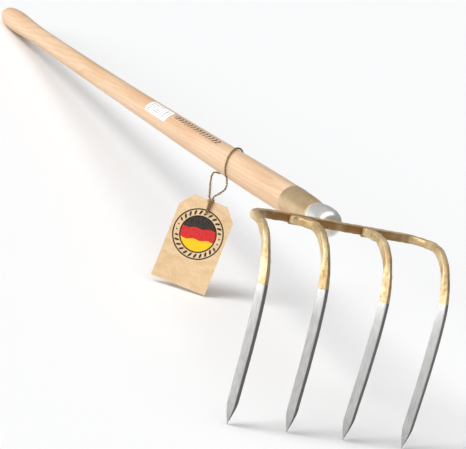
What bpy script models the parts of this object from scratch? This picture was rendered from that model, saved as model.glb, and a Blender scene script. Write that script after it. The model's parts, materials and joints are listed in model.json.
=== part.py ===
"""Long-handled fork with four hooked tines, built as separate parts that are joined as the real ones are.

Every part is drawn in the tool's own frame, in metres. X runs along the handle from its knob to the head
and is zero at the crossbar, Y runs along the crossbar and Z is up, away from the tines. The empty fork_root
then tilts the tool so that it lies on its knob and its four tine points, with the middle of its base at the
world's origin.
"""

import math

import bmesh
import bpy
from mathutils import Matrix, Vector
from mathutils.geometry import interpolate_bezier

# Handle
KNOB_END_X = -1.420
WOOD_END_X = -0.125
NOSE_END_X = -0.022
HANDLE_SIDES = 28
NOSE_STEP = 0.0010
BORE_BEHIND_TANG = 0.003
# (distance from the knob's end, radius) of the turned wood
WOOD_PROFILE = [
    (0.0, 0.003), (0.003, 0.0072), (0.009, 0.0108), (0.020, 0.0138), (0.036, 0.0158), (0.060, 0.0168),
    (0.090, 0.0166), (0.130, 0.0153), (0.170, 0.0142), (0.215, 0.0138), (0.300, 0.0140), (0.420, 0.0143),
    (0.560, 0.0148), (0.700, 0.0155), (0.830, 0.0163), (0.960, 0.0173), (1.060, 0.0180), (1.150, 0.0185),
    (1.220, 0.0185), (1.265, 0.0183), (1.295, 0.0180),
]
KNOB_LENGTH = 0.15
# The handle's natural bow between the knob and the ferrule
BOW_DOWN = 0.0061
BOW_SIDE = 0.0067

# Ferrule, cap and tang
CAP_RIM_X = -0.0505
SHEET_WALL = 0.0012
FIT_GAP = 0.0003
# (distance in front of the wood's end, radius) of the ferrule's outside
FERRULE_PROFILE = [
    (0.0, 0.0183), (0.012, 0.0181), (0.028, 0.0176), (0.045, 0.0170), (0.060, 0.0162), (0.0742, 0.0152),
]
# (distance in front of the cap's rim, radius) of the cap's outside
CAP_PROFILE = [
    (0.0, 0.0150), (0.0025, 0.0156), (0.008, 0.0163), (0.015, 0.0168), (0.022, 0.0169), (0.029, 0.0166),
    (0.034, 0.0159), (0.0385, 0.0146), (0.0415, 0.0128), (0.0435, 0.0104), (0.0441, 0.0066),
]
CAP_LENGTH = CAP_PROFILE[-1][0]
TANG_BACK_X = -0.112
TANG_TAPER_X = -0.060
TANG_POINT_LENGTH = 0.006
TANG_HALF = 0.0036
TANG_POINT_HALF = 0.0022
TANG_END_HALF = 0.0009
BORE_RADIUS = 0.0064

# Head: a square bar bent into the crossbar and the outer pair of tines, and two tines welded to its front
BAR_RISE = 0.0036
BAR_HALF_DEPTH = 0.0055
BAR_HALF_HEIGHT = 0.0052
# Low boss on the back of the bar, where the tang is forged on
BOSS_HEIGHT = 0.0002
BOSS_Y = 0.018
BOSS_EDGE_Y = 0.021
CORNER_FILLET = 0.025
CORNER_OUTER_RADIUS = 0.034
TINE_ROOT_HALF = 0.0051
# (height below the crossbar, half diagonal) of a tine's diamond section
TINE_DIAGONALS = [(0.040, 0.0065), (0.060, 0.0067), (0.090, 0.0071), (0.150, 0.0070), (0.212, 0.0066)]
POINT_LENGTH = 0.024
# The inner tines are deeper on the underside of their bend
BEND_DEPTH = 0.0020
BEND_FROM = (0.0, 0.015)
BEND_TO = (0.035, 0.075)
# (forward of the foot's back, share of its reach) down the side where a welded foot widens
FOOT_PROFILE = [
    (0.0, 1.0), (0.0055, 0.98), (0.0070, 0.86), (0.0078, 0.68), (0.0105, 0.48), (0.0150, 0.30),
    (0.0200, 0.13), (0.0240, 0.0),
]
# (forward of the crossbar, height above its middle) along each tine, from its horizontal root to its point
TINE_LINE = [
    (0.0305, 0.0010), (0.045, -0.0010), (0.058, -0.0072), (0.069, -0.0166), (0.077, -0.0286),
    (0.0835, -0.0436), (0.0873, -0.0616), (0.0886, -0.094), (0.0880, -0.129), (0.0860, -0.164),
    (0.0829, -0.2122),
]
STEPS_PER_SPAN = 3
DIAMOND_FROM_DROP = 0.004
DIAMOND_BY_DROP = 0.040
# Section of the forged bar, in shares of its half width: a chamfered square and a blunt diamond
SQUARE = [
    (1, -0.72), (1, 0), (1, 0.72), (0.72, 1), (0, 1), (-0.72, 1),
    (-1, 0.72), (-1, 0), (-1, -0.72), (-0.72, -1), (0, -1), (0.72, -1),
]
DIAMOND = [
    (0.8, -0.2), (0.96, 0), (0.8, 0.2), (0.2, 0.8), (0, 0.96), (-0.2, 0.8),
    (-0.8, 0.2), (-0.96, 0), (-0.8, -0.2), (-0.2, -0.8), (0, -0.96), (0.2, -0.8),
]
ROOT_FLATNESS = 0.9
# How the point draws in: shares of its length with a ring, the power of its curve and its blunt end
POINT_SHARES = (0.0, 0.34, 0.67, 0.88, 0.97, 1.0)
POINT_CURVE = 1.35
POINT_BLUNT = 0.12
# Each tine's distance from the middle of the crossbar, and how far it leans to the left of the tool on its
# way down, in degrees
TINE_Y = {"outer_left": 0.1057, "inner_left": 0.037, "inner_right": 0.037, "outer_right": 0.106}
TINE_LEAN = {"outer_left": -0.5, "inner_left": -0.5, "inner_right": 1.6, "outer_right": 1.1}
# How far the welded foot of each inner tine reaches out to the left of the tool
FOOT_REACH = {"inner_left": 0.0165, "inner_right": 0.0035}

# Paper sticker on the handle
STICKER_X = (-0.648, -0.560)
STICKER_ANGLES = (math.radians(98.0), math.radians(168.0))
STICKER_THICKNESS = 0.0003

# Hang tag and the twine that holds it
SWING_X = -0.333
TWINE_DIAMETER = 0.0022
KNOT_AT = (-0.312, -0.0220, -0.0455)
TAG_WIDTH = 0.069
TAG_LENGTH = 0.1085
TAG_CHAMFER = (0.0135, 0.0160)
TAG_THICKNESS = 0.0008
TAG_HOLE_RADIUS = 0.0023
TAG_HOLE_BELOW_TOP = 0.0145
HOLE_BELOW_KNOT = 0.0176
TAG_TURN = math.radians(-22.8)
TAG_TILT = math.radians(-17.4)
TAG_LEAN = math.radians(-5.0)
KNOT_RADIUS = 0.0014
# Route of the twine: down strand in front, round the handle, and back down to the knot
TWINE_ROUTE = [
    (-0.3112, -0.0192, -0.0432), (-0.3100, -0.0142, -0.0385), (-0.3090, -0.0088, -0.0322),
    (-0.3094, -0.0074, -0.0256), (-0.3100, -0.0091, -0.0188), (-0.3055, -0.0142, -0.0130),
    (-0.3040, -0.0168, -0.0054), (-0.3060, -0.0162, 0.0023), (-0.3110, -0.0129, 0.0088),
    (-0.3180, -0.0072, 0.0139), (-0.3270, 0.0001, 0.0165), (-0.3360, 0.0081, 0.0161),
    (-0.3440, 0.0157, 0.0125), (-0.3520, 0.0212, 0.0061), (-0.3590, 0.0237, -0.0019),
    (-0.3645, 0.0227, -0.0101), (-0.3685, 0.0185, -0.0172), (-0.3702, 0.0121, -0.0218),
    (-0.3708, 0.0055, -0.0237), (-0.3708, 0.0003, -0.0234), (-0.3700, -0.0035, -0.0247),
    (-0.3688, -0.0050, -0.0281), (-0.3655, -0.0062, -0.0318), (-0.3580, -0.0088, -0.0360),
    (-0.3480, -0.0118, -0.0397),
    (-0.3360, -0.0156, -0.0428), (-0.3240, -0.0200, -0.0446), (-0.3142, -0.0234, -0.0452),
]

COLOURS = {
    "ash_wood": ((0.86, 0.65, 0.44), 0.55, 0.0),
    "gold_lacquer": ((0.52, 0.36, 0.16), 0.38, 0.6),
    "forged_gold": ((0.58, 0.41, 0.18), 0.42, 0.6),
    "zinc": ((0.62, 0.63, 0.62), 0.32, 0.9),
    "white_paper": ((0.85, 0.85, 0.83), 0.7, 0.0),
    "kraft_card": ((0.62, 0.44, 0.26), 0.85, 0.0),
    "jute": ((0.30, 0.19, 0.09), 0.9, 0.0),
}


def clear_scene():
    for thing in list(bpy.data.objects):
        bpy.data.objects.remove(thing, do_unlink=True)


def material(name):
    colour, roughness, metallic = COLOURS[name]
    made = bpy.data.materials.get(name) or bpy.data.materials.new(name)
    made.use_nodes = True
    shader = made.node_tree.nodes["Principled BSDF"]
    shader.inputs["Base Color"].default_value = (*colour, 1.0)
    shader.inputs["Roughness"].default_value = roughness
    shader.inputs["Metallic"].default_value = metallic
    return made


def empty(name, parent=None, location=(0, 0, 0), rotation=(0, 0, 0)):
    made = bpy.data.objects.new(name, None)
    bpy.context.scene.collection.objects.link(made)
    made.parent = parent
    made.location = location
    made.rotation_euler = rotation
    made.empty_display_size = 0.02
    return made


def place(name, mesh, parent, material_name, smooth=True):
    """Put a mesh drawn in the parent's frame into the scene, with outward faces."""
    work = bmesh.new()
    work.from_mesh(mesh)
    bmesh.ops.recalc_face_normals(work, faces=work.faces)
    work.to_mesh(mesh)
    work.free()
    for face in mesh.polygons:
        face.use_smooth = smooth
    made = bpy.data.objects.new(name, mesh)
    bpy.context.scene.collection.objects.link(made)
    made.parent = parent
    mesh.materials.append(material(material_name))
    return made


def skin(name, rings, looped=False):
    """A closed mesh over rings of points: capped at both ends, or joined end to end when looped."""
    count = len(rings[0])
    points = [tuple(point) for ring in rings for point in ring]
    faces = []
    spans = len(rings) if looped else len(rings) - 1
    for r in range(spans):
        here, there = r * count, (r + 1) % len(rings) * count
        for i in range(count):
            j = (i + 1) % count
            faces.append((here + i, here + j, there + j, there + i))
    if not looped:
        faces.append(tuple(range(count)))
        faces.append(tuple(range((len(rings) - 1) * count, len(rings) * count)))
    mesh = bpy.data.meshes.new(name)
    mesh.from_pydata(points, [], faces)
    mesh.update()
    return mesh


def smooth_line(points, steps):
    """Points on one smooth curve through the given ones, with this many steps in each span."""
    points = [Vector(p) for p in points]
    line = []
    for i in range(len(points) - 1):
        a, b = points[i], points[i + 1]
        before = points[i - 1] if i else a
        after = points[i + 2] if i + 2 < len(points) else b
        line += interpolate_bezier(a, a + (b - before) / 6, b - (after - a) / 6, b, steps + 1)[:-1]
    return line + [points[-1]]


def handle_centre(x):
    """Where the handle's centreline crosses a given X; in front of the wood's end it runs straight on."""
    share = (WOOD_END_X - x) / (WOOD_END_X - KNOB_END_X)
    bend = 4 * share * (1 - share) if share > 0 else 4 * share
    return Vector((x, BOW_SIDE * bend, -BOW_DOWN * bend))


def circle(x, radius, sides=HANDLE_SIDES):
    centre = handle_centre(x)
    turns = [math.tau * i / sides for i in range(sides)]
    return [centre + Vector((0, radius * math.cos(t), radius * math.sin(t))) for t in turns]


def between(profile, at):
    """Read a list of (place, value) pairs at a place between them."""
    for (a, va), (b, vb) in zip(profile, profile[1:]):
        if at <= b:
            return va + (vb - va) * (at - a) / (b - a)
    return profile[-1][1]


def wood_radius(x):
    return between(WOOD_PROFILE, x - KNOB_END_X)


def build_handle(root):
    """Turned ash, stepped down where it enters the ferrule and bored for the tang."""
    rings = [circle(KNOB_END_X + d, r) for d, r in WOOD_PROFILE]
    nose_back = between(FERRULE_PROFILE, 0) - SHEET_WALL - FIT_GAP
    nose_front = FERRULE_PROFILE[-1][1] - SHEET_WALL - FIT_GAP - NOSE_STEP
    rings.append(circle(WOOD_END_X, nose_back))
    for share in (0.35, 0.7):
        x = WOOD_END_X + share * (CAP_RIM_X - WOOD_END_X)
        rings.append(circle(x, between(FERRULE_PROFILE, x - WOOD_END_X) - SHEET_WALL - FIT_GAP))
    rings.append(circle(CAP_RIM_X, nose_front))
    rings.append(circle(NOSE_END_X, nose_front - NOSE_STEP))
    rings.append(circle(NOSE_END_X, BORE_RADIUS))
    rings.append(circle(TANG_BACK_X - BORE_BEHIND_TANG, BORE_RADIUS))
    return place("handle", skin("handle", rings), root, "ash_wood")


def sleeve(start_x, profile):
    """Rings over the outside of a sheet sleeve and back through its inside."""
    outside = [circle(start_x + d, r) for d, r in profile]
    inside = [circle(start_x + d, r - SHEET_WALL) for d, r in reversed(profile)]
    return outside + inside


def build_ferrule(root):
    mesh = skin("ferrule", sleeve(WOOD_END_X, FERRULE_PROFILE), looped=True)
    return place("ferrule", mesh, root, "gold_lacquer")


def build_cap(root):
    """Domed zinc cap over the wood's nose, pierced for the tang."""
    outside = [circle(CAP_RIM_X + d, r) for d, r in CAP_PROFILE]
    inside = []
    for d, r in reversed(CAP_PROFILE[:-2]):
        inside.append(circle(CAP_RIM_X + d - SHEET_WALL * d / CAP_LENGTH, r - SHEET_WALL))
    hole = [circle(CAP_RIM_X + CAP_LENGTH - SHEET_WALL, CAP_PROFILE[-1][1])]
    return place("ferrule_cap", skin("ferrule_cap", outside + hole + inside, looped=True), root, "zinc")


def build_tang(root):
    """Square spike from the crossbar through the cap into the handle."""
    front_x = -BAR_HALF_DEPTH - BOSS_HEIGHT - FIT_GAP
    stations = [
        (front_x, TANG_HALF), (TANG_TAPER_X, TANG_HALF),
        (TANG_BACK_X + TANG_POINT_LENGTH, TANG_POINT_HALF), (TANG_BACK_X, TANG_END_HALF),
    ]
    rings = []
    for x, half in stations:
        centre = handle_centre(x)
        rings.append([centre + Vector((0, half * a, half * b)) for a, b in SQUARE])
    return place("tang", skin("tang", rings), root, "forged_gold", smooth=False)


def section(centre, across, up, half_across, half_up, diamond=0.0, diagonal=0.0):
    """A ring of a forged bar: a chamfered square, a diamond on its corner, or a shape between them."""
    ring = []
    for (sa, su), (da, du) in zip(SQUARE, DIAMOND):
        a = (1 - diamond) * sa * half_across + diamond * da * diagonal
        u = (1 - diamond) * su * half_up + diamond * du * diagonal
        ring.append(centre + across * a + up * u)
    return ring


def ease(value, low, high):
    """0 below low, 1 above high, and a smooth rise between them."""
    share = min(max((value - low) / (high - low), 0.0), 1.0)
    return share * share * (3 - 2 * share)


def tine_stations(line):
    """Points down a tine's line with how far along it each lies, closer together in the point."""
    lengths = [0.0]
    for a, b in zip(line, line[1:]):
        lengths.append(lengths[-1] + (b - a).length)
    point_at = lengths[-1] - POINT_LENGTH
    stations = [(p, s) for p, s in zip(line, lengths) if s < point_at - POINT_LENGTH / 6]
    end = line[-1]
    back = (line[-2] - end).normalized()
    for share in POINT_SHARES:
        stations.append((end + back * POINT_LENGTH * (1 - share), point_at + share * POINT_LENGTH))
    return stations


def tine_rings(tine, side, bend_depth=0.0):
    """Rings of a tine from its horizontal root to its point. side is 1 on the right and -1 on the left."""
    stations = tine_stations(smooth_line([(x, 0, z) for x, z in TINE_LINE], STEPS_PER_SPAN))
    total = stations[-1][1]
    across = Vector((0, side, 0))
    lean = math.tan(math.radians(TINE_LEAN[tine]))
    rings = []
    for i, (p, s) in enumerate(stations):
        last = stations[max(i - 1, 0)][0]
        following = stations[min(i + 1, len(stations) - 1)][0]
        along = (following - last).normalized()
        up = Vector((-along.z, 0, along.x))
        drop = -p.z
        left = min((total - s) / POINT_LENGTH, 1.0)
        sharp = max(POINT_BLUNT, 1 - (1 - left) ** POINT_CURVE)
        half = TINE_ROOT_HALF * sharp
        diamond = ease(drop, DIAMOND_FROM_DROP, DIAMOND_BY_DROP)
        diagonal = between(TINE_DIAGONALS, max(drop, TINE_DIAGONALS[0][0])) * sharp
        centre = Vector((p.x, side * TINE_Y[tine] - drop * lean, p.z + BAR_RISE))
        ring = section(centre, across, up, half, half * ROOT_FLATNESS, diamond, diagonal)
        deeper = bend_depth * ease(s, *BEND_FROM) * (1 - ease(s, *BEND_TO))
        rings.append([q - up * deeper * max((centre - q).dot(up) / half, 0.0) for q in ring])
    return rings


def bar_half(tine, side):
    """Rings from the middle of the crossbar, round the corner and down one outer tine."""
    up = Vector((0, 0, 1))
    back = Vector((-1, 0, 0))
    straight_y = TINE_Y[tine] - TINE_ROOT_HALF - CORNER_FILLET
    middle_y = (BOSS_EDGE_Y + straight_y) / 2
    boss = BOSS_HEIGHT / 2
    rings = []
    stations = [(BOSS_Y / 2, boss), (BOSS_Y, boss), (BOSS_EDGE_Y, 0), (middle_y, 0), (straight_y, 0)]
    for y, more in stations:
        centre = Vector((-more, side * y, BAR_RISE))
        rings.append(section(centre, back, up, BAR_HALF_DEPTH + more, BAR_HALF_HEIGHT))
    pivot = Vector((BAR_HALF_DEPTH + CORNER_FILLET, side * straight_y, BAR_RISE))
    reach_back = CORNER_FILLET + 2 * BAR_HALF_DEPTH
    reach_side = CORNER_FILLET + 2 * TINE_ROOT_HALF
    steps = 9
    for i in range(1, steps):
        angle = math.pi / 2 * i / steps
        outward = Vector((-math.cos(angle), side * math.sin(angle), 0))
        outer = corner_distance(angle, reach_back, reach_side, CORNER_OUTER_RADIUS)
        middle, half = (outer + CORNER_FILLET) / 2, (outer - CORNER_FILLET) / 2
        lift = Vector((0, 0, TINE_LINE[0][1] * i / steps))
        rings.append(section(pivot + outward * middle + lift, outward, up, half, BAR_HALF_HEIGHT))
    return rings + tine_rings(tine, side)


def corner_distance(angle, reach_back, reach_side, radius):
    """Distance from a corner's pivot to its rounded outside, along a ray turned from straight back."""
    back, aside = math.cos(angle), math.sin(angle)
    square = min(reach_back / back, reach_side / max(aside, 1e-9))
    centre = Vector((reach_back - radius, reach_side - radius))
    ray = Vector((back, aside))
    ahead = centre.dot(ray)
    gap = centre.length_squared - ahead * ahead
    rounded = ahead + math.sqrt(max(radius * radius - gap, 0.0))
    hit = ray * rounded
    return rounded if hit.x > centre.x and hit.y > centre.y else square


def build_outer_tines(root):
    left = bar_half("outer_left", -1)
    right = bar_half("outer_right", 1)
    mesh = skin("crossbar_outer_tines", left[::-1] + right)
    return place("crossbar_outer_tines", mesh, root, "forged_gold")


def build_inner_tine(root, name, tine, side):
    """A tine whose foot widens to the left where it is welded to the front of the crossbar."""
    up = Vector((0, 0, 1))
    across = Vector((0, side, 0))
    middle = side * TINE_Y[tine]
    start_x = BAR_HALF_DEPTH + FIT_GAP
    rings = []
    for ahead, share in FOOT_PROFILE:
        x = start_x + ahead
        reach = FOOT_REACH[tine] * share
        lift = TINE_LINE[0][1] * x / TINE_LINE[0][0]
        centre = Vector((x, middle - reach / 2, BAR_RISE + lift))
        rings.append(section(centre, across, up, TINE_ROOT_HALF + reach / 2, BAR_HALF_HEIGHT))
    rings += tine_rings(tine, side, BEND_DEPTH)
    return place(name, skin(name, rings), root, "forged_gold")


def build_sticker(root):
    """Thin paper label wrapped part of the way round the handle."""
    rings = []
    low, high = STICKER_ANGLES
    steps_along, steps_round = 8, 10
    turns = [low + (high - low) * k / steps_round for k in range(steps_round + 1)]
    directions = [Vector((0, math.cos(t), math.sin(t))) for t in turns]
    for i in range(steps_along + 1):
        x = STICKER_X[0] + (STICKER_X[1] - STICKER_X[0]) * i / steps_along
        centre, radius = handle_centre(x), wood_radius(x) + FIT_GAP
        under = [centre + radius * out for out in directions]
        over = [centre + (radius + STICKER_THICKNESS) * out for out in reversed(directions)]
        rings.append(under + over)
    return place("price_sticker", skin("price_sticker", rings), root, "white_paper")


def tag_outline():
    half = TAG_WIDTH / 2
    cut_across, cut_down = TAG_CHAMFER
    top = TAG_HOLE_BELOW_TOP
    bottom = top - TAG_LENGTH
    return [
        (-half, bottom), (half, bottom), (half, top - cut_down), (half - cut_across, top),
        (-half + cut_across, top), (-half, top - cut_down),
    ]


def build_tag(frame):
    """Card tag drawn round its hole, facing +X of its own frame."""
    outline = tag_outline()
    rings = [[Vector((x, y, z)) for y, z in outline] for x in (-TAG_THICKNESS / 2, TAG_THICKNESS / 2)]
    tag = place("hang_tag", skin("hang_tag", rings), frame, "kraft_card", smooth=False)
    sides = 20
    turns = [math.tau * i / sides for i in range(sides)]
    rim = [TAG_HOLE_RADIUS * Vector((0, math.cos(t), math.sin(t))) for t in turns]
    half_depth = Vector((5 * TAG_THICKNESS, 0, 0))
    bore = [[point - half_depth for point in rim], [point + half_depth for point in rim]]
    cutter = place("hole_cutter", skin("hole_cutter", bore), frame, "kraft_card")
    cutter.hide_render = True
    cutter.display_type = "WIRE"
    cut = tag.modifiers.new("hole", "BOOLEAN")
    cut.operation = "DIFFERENCE"
    cut.solver = "EXACT"
    cut.object = cutter


def tube(name, points, radius, parent, material_name):
    """A round cord along the given points."""
    curve = bpy.data.curves.new(name, "CURVE")
    curve.dimensions = "3D"
    curve.bevel_depth = radius
    curve.bevel_resolution = 2
    curve.use_fill_caps = True
    spline = curve.splines.new("POLY")
    spline.points.add(len(points) - 1)
    for knot, point in zip(spline.points, points):
        knot.co = (*point, 1.0)
    made = bpy.data.objects.new(name, curve)
    bpy.context.scene.collection.objects.link(made)
    made.parent = parent
    curve.materials.append(material(material_name))


def build_twine(swing):
    line = [p - swing.location for p in smooth_line(TWINE_ROUTE, 3)]
    tube("tag_twine", line, TWINE_DIAMETER / 2, swing, "jute")


def build_knot(frame):
    """Doubled twine from the knot above the tag, down its front and through its hole."""
    out = TAG_THICKNESS / 2 + KNOT_RADIUS + FIT_GAP
    rise = HOLE_BELOW_KNOT
    route = [
        (out, 0.0002, rise - 0.0030), (out, 0.0004, rise - 0.0070), (out + 0.0001, 0.0002, 0.0060),
        (out + 0.0003, 0.0, 0.0032), (out - 0.0001, 0.0, 0.0012), (0.0010, 0.0, 0.0002),
        (-0.0008, 0.0, 0.0), (-0.0030, 0.0, -0.0002),
    ]
    tube("twine_knot", smooth_line(route, 2), KNOT_RADIUS, frame, "jute")


def build_tag_and_twine(root):
    """The swinging tag: its empty sits on the handle's centreline, which the twine loop turns about."""
    swing = empty("tag_swing", root, handle_centre(SWING_X))
    level = Matrix.Rotation(rest_slope(), 3, "Y")
    hang = level @ Matrix.Rotation(TAG_TURN, 3, "Z") @ Matrix.Rotation(TAG_TILT, 3, "Y")
    hole = Vector(KNOT_AT) - hang.col[2] * HOLE_BELOW_KNOT
    axes = hang @ Matrix.Rotation(TAG_LEAN, 3, "X")
    frame = empty("tag_frame", swing, hole - swing.location, axes.to_euler())
    build_tag(frame)
    build_knot(frame)
    build_twine(swing)


def lowest(points, slope):
    """Height of the lowest of these points when the tool is tilted by this slope."""
    return min(p.x * math.sin(slope) + p.z * math.cos(slope) for p in points)


def rest_slope():
    """How far the tool tilts for its knob and its tine points to touch the floor together."""
    knob = [p for d, r in WOOD_PROFILE if d < KNOB_LENGTH for p in circle(KNOB_END_X + d, r)]
    tip = tine_rings("outer_right", 1)[-1]
    low, high = 0.0, math.radians(20)
    halvings = 40
    for _ in range(halvings):
        middle = (low + high) / 2
        if lowest(tip, middle) < lowest(knob, middle):
            low = middle
        else:
            high = middle
    return low


def set_down(root, nodes):
    """Move the tool so that the middle of its base is at the world's origin."""
    bpy.context.view_layer.update()
    corners = [node.matrix_world @ vertex.co for node in nodes for vertex in node.data.vertices]
    low = Vector(min(c[i] for c in corners) for i in range(3))
    high = Vector(max(c[i] for c in corners) for i in range(3))
    root.location -= Vector(((low.x + high.x) / 2, (low.y + high.y) / 2, low.z))


def build():
    clear_scene()
    root = empty("fork_root", rotation=(0, -rest_slope(), 0))
    fork = [
        build_handle(root), build_ferrule(root), build_cap(root), build_tang(root),
        build_outer_tines(root), build_sticker(root),
        build_inner_tine(root, "inner_tine_left", "inner_left", -1),
        build_inner_tine(root, "inner_tine_right", "inner_right", 1),
    ]
    build_tag_and_twine(root)
    set_down(root, fork)
    bpy.context.view_layer.update()


build()
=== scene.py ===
"""Looks of a long-handled fork with four hooked tines.

Pieces are drawn in the tool's own frame, in metres: X runs along the handle towards the head and is zero at the
crossbar, Y runs along the crossbar, and Z is up, away from the tines. TOOL turns and moves them to where the
frame has the tool, lying on its knob and its tine points.
"""

import json
from math import atan2, cos, hypot, pi, radians, sin, sqrt, tan, tau

import bmesh
import bpy
from mathutils import Matrix, Vector, noise
from mathutils.geometry import interpolate_bezier


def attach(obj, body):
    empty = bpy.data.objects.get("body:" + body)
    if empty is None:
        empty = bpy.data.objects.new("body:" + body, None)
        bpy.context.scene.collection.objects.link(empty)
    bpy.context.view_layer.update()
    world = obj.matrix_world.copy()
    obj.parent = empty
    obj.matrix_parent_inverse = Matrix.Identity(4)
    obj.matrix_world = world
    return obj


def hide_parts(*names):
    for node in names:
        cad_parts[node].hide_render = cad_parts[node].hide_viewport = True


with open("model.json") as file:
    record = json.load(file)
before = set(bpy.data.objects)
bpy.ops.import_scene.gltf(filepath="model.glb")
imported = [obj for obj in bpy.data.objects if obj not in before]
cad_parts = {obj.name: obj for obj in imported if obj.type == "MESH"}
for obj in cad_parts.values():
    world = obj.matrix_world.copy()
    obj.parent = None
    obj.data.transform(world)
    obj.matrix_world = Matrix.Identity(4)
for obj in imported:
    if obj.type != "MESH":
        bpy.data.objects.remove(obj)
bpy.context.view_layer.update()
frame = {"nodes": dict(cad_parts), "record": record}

MM = 0.001

# Camera, in the tool's frame
CAMERA_AT = (2.23435, -1.05537, 0.40403)
CAMERA_YAW = radians(22.456)
CAMERA_PITCH = radians(9.794)
CAMERA_ROLL = radians(13.961)
CAMERA_LENS_MM = 179.52
CAMERA_SHIFT = (0.02707, -0.00678)

# Crossbar
BAR_RISE = 3.6 * MM
BAR_HALF_DEPTH = 5.5 * MM
BAR_HALF_HEIGHT = 5.2 * MM
CORNER_FILLET = 25 * MM
CORNER_OUTER_RADIUS = 34 * MM

# Tines
TINE_ROOT_HALF = 5.1 * MM
# (height below the crossbar, half diagonal) of a tine's diamond section
TINE_DIAGONALS = [(0.040, 0.0065), (0.060, 0.0067), (0.090, 0.0071), (0.150, 0.0070), (0.212, 0.0066)]
POINT_LENGTH = 24 * MM
# The inner tines are deeper on the underside of their bend
BEND_DEPTH = 2 * MM
BEND_FROM = (0.0, 0.015)
BEND_TO = (0.035, 0.075)
# (forward of the foot's back, share of its reach) down the side where a welded foot widens
FOOT_PROFILE = [
    (0.0, 1.0), (0.0055, 0.98), (0.0070, 0.86), (0.0078, 0.68), (0.0105, 0.48), (0.0150, 0.30), (0.0200, 0.13),
    (0.0240, 0.0),
]
FIT_GAP = 0.3 * MM
# (forward of the crossbar, height above its middle) along each tine, from its horizontal root to its point
TINE_LINE = [
    (0.0305, 0.0010), (0.045, -0.0010), (0.058, -0.0072), (0.069, -0.0166), (0.077, -0.0286), (0.0835, -0.0436),
    (0.0873, -0.0616), (0.0886, -0.094), (0.0880, -0.129), (0.0860, -0.164), (0.0829, -0.2119),
]
DIAMOND_FROM_DROP = 4 * MM
DIAMOND_BY_DROP = 40 * MM
# Each tine's distance from the middle of the crossbar, its lean to the left on its way down in degrees, and how
# far the welded feet reach out to the left
TINE_Y = {"outer_left": 105.7 * MM, "inner_left": 37 * MM, "inner_right": 37 * MM, "outer_right": 106 * MM}
TINE_LEAN = {"outer_left": -0.5, "inner_left": -0.5, "inner_right": 1.6, "outer_right": 1.1}
FOOT_REACH = {"inner_left": 16.5 * MM, "inner_right": 3.5 * MM}
# How far below the crossbar's middle the lacquer stops on each tine
LACQUER_ENDS = {
    "outer_left": 57.5 * MM, "inner_left": 52.7 * MM, "inner_right": 56.4 * MM, "outer_right": 47.9 * MM,
}

# Handle, ferrule and cap
KNOB_END_X = -1.420
WOOD_END_X = -0.125
NOSE_END_X = -0.022
NOSE_RADIUS = 12 * MM
BOW_DOWN = 6.1 * MM
BOW_SIDE = 6.7 * MM
SHEET_WALL = 1.2 * MM
# The wood and the cap have more sides here than in the CAD, so they are drawn slimmer to keep its height
WOOD_SLIMMER = 0.14 * MM
CAP_SLIMMER = 0.1 * MM
CAP_RIM_X = -0.0505
# (distance from the knob's end, radius) of the turned wood
WOOD_PROFILE = [
    (0.0, 0.0002), (0.0006, 0.0034), (0.0032, 0.0074), (0.009, 0.0109), (0.020, 0.0138), (0.036, 0.0158),
    (0.060, 0.0168), (0.090, 0.0166), (0.130, 0.0153), (0.170, 0.0142), (0.215, 0.0138), (0.300, 0.0140),
    (0.420, 0.0143), (0.560, 0.0148), (0.700, 0.0155), (0.830, 0.0163), (0.960, 0.0173), (1.060, 0.0180),
    (1.150, 0.0185), (1.220, 0.0185), (1.265, 0.0183), (1.295, 0.0180),
]
FERRULE_PROFILE = [
    (0.0, 0.0183), (0.012, 0.0181), (0.028, 0.0176), (0.045, 0.0170), (0.060, 0.0162), (0.0742, 0.0152),
]
CAP_PROFILE = [
    (0.0, 0.0150), (0.0025, 0.0156), (0.008, 0.0163), (0.015, 0.0168), (0.022, 0.0169), (0.029, 0.0166),
    (0.034, 0.0159), (0.0385, 0.0146), (0.0415, 0.0128), (0.0435, 0.0104), (0.0441, 0.0066),
]

# Paper sticker
STICKER_X = (-0.648, -0.560)
STICKER_ANGLES = (radians(98), radians(168))
STICKER_THICKNESS = 0.3 * MM

# Row of marks burnt into the wood
BURNT_X = (-0.548, -0.372)
BURNT_ANGLES = (radians(99), radians(128))

# Tag and twine
TWINE_DIAMETER = 2.2 * MM
KNOT_AT = (-0.312, -0.0220, -0.0455)
TAG_WIDTH = 69 * MM
TAG_LENGTH = 108.5 * MM
TAG_CUT_ACROSS = 13.5 * MM
TAG_CUT_DOWN = 16 * MM
TAG_THICKNESS = 0.8 * MM
TAG_HOLE_RADIUS = 2.3 * MM
TAG_TOP = 14.5 * MM
TAG_BOTTOM = TAG_TOP - TAG_LENGTH
HOLE_BELOW_KNOT = 17.6 * MM
TAG_TURN = radians(-22.8)
TAG_TILT = radians(-17.4)
TAG_LEAN = radians(-5.0)
SEAL_BELOW_HOLE = 28.5 * MM
SEAL_RADIUS = 30.9 * MM
DISC_RADIUS = 21.4 * MM
SEAL_TILT = radians(10)
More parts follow.
